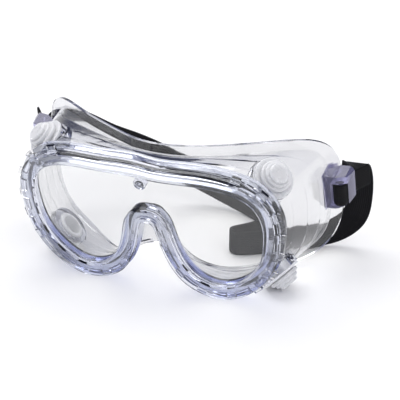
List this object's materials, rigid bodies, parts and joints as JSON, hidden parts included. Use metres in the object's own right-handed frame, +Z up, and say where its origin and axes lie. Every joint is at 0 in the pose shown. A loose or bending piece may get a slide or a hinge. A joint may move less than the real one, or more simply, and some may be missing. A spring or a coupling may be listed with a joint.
{
  "type": "safety goggles",
  "caption": "Clear wraparound splash goggles: one-piece soft frame, curved lens with edge tabs, stepped vents at the corners and an elastic head strap lying loose behind.",
  "frame": {"origin": "on the table, under the middle of the goggles and their strap", "axes": "+X to the wearer's left-hand side as seen from in front (along the lens), +Y from the lens back to the strap, +Z up"},
  "size_m": [0.178, 0.1178, 0.0787],
  "materials": {
    "clear_pvc": "clear, soft, moulded",
    "clear_polycarbonate": "clear, polished",
    "vent_plastic": "milky white, satin",
    "strap_elastic": "woven elastic"
  },
  "bodies": {
    "goggles": {"frame_body": "clear_pvc", "lens": "clear_polycarbonate", "strap": "strap_elastic", "vent_base_top_left": "vent_plastic", "vent_base_top_right": "vent_plastic", "vent_base_bottom_left": "vent_plastic", "vent_base_bottom_right": "vent_plastic"},
    "cap_top_left": {"vent_cap_top_left": "vent_plastic"},
    "cap_top_right": {"vent_cap_top_right": "vent_plastic"},
    "cap_bottom_left": {"vent_cap_bottom_left": "vent_plastic"},
    "cap_bottom_right": {"vent_cap_bottom_right": "vent_plastic"}
  },
  "joints": [
    {"name": "cap_top_left_spin", "type": "hinge", "parent": "goggles", "child": "cap_top_left", "pos_m": [-0.0582, -0.03165, 0.06678], "axis": [-0.5996, -0.4055, 0.6899], "continuous": true},
    {"name": "cap_top_right_spin", "type": "hinge", "parent": "goggles", "child": "cap_top_right", "pos_m": [0.0582, -0.03165, 0.06678], "axis": [0.5996, -0.4055, 0.6899], "continuous": true},
    {"name": "cap_bottom_left_spin", "type": "hinge", "parent": "goggles", "child": "cap_bottom_left", "pos_m": [-0.0574, -0.01676, 0.00959], "axis": [-0.7188, -0.0792, -0.6907], "continuous": true},
    {"name": "cap_bottom_right_spin", "type": "hinge", "parent": "goggles", "child": "cap_bottom_right", "pos_m": [0.0574, -0.01676, 0.00959], "axis": [0.7188, -0.0792, -0.6907], "continuous": true}
  ]
}
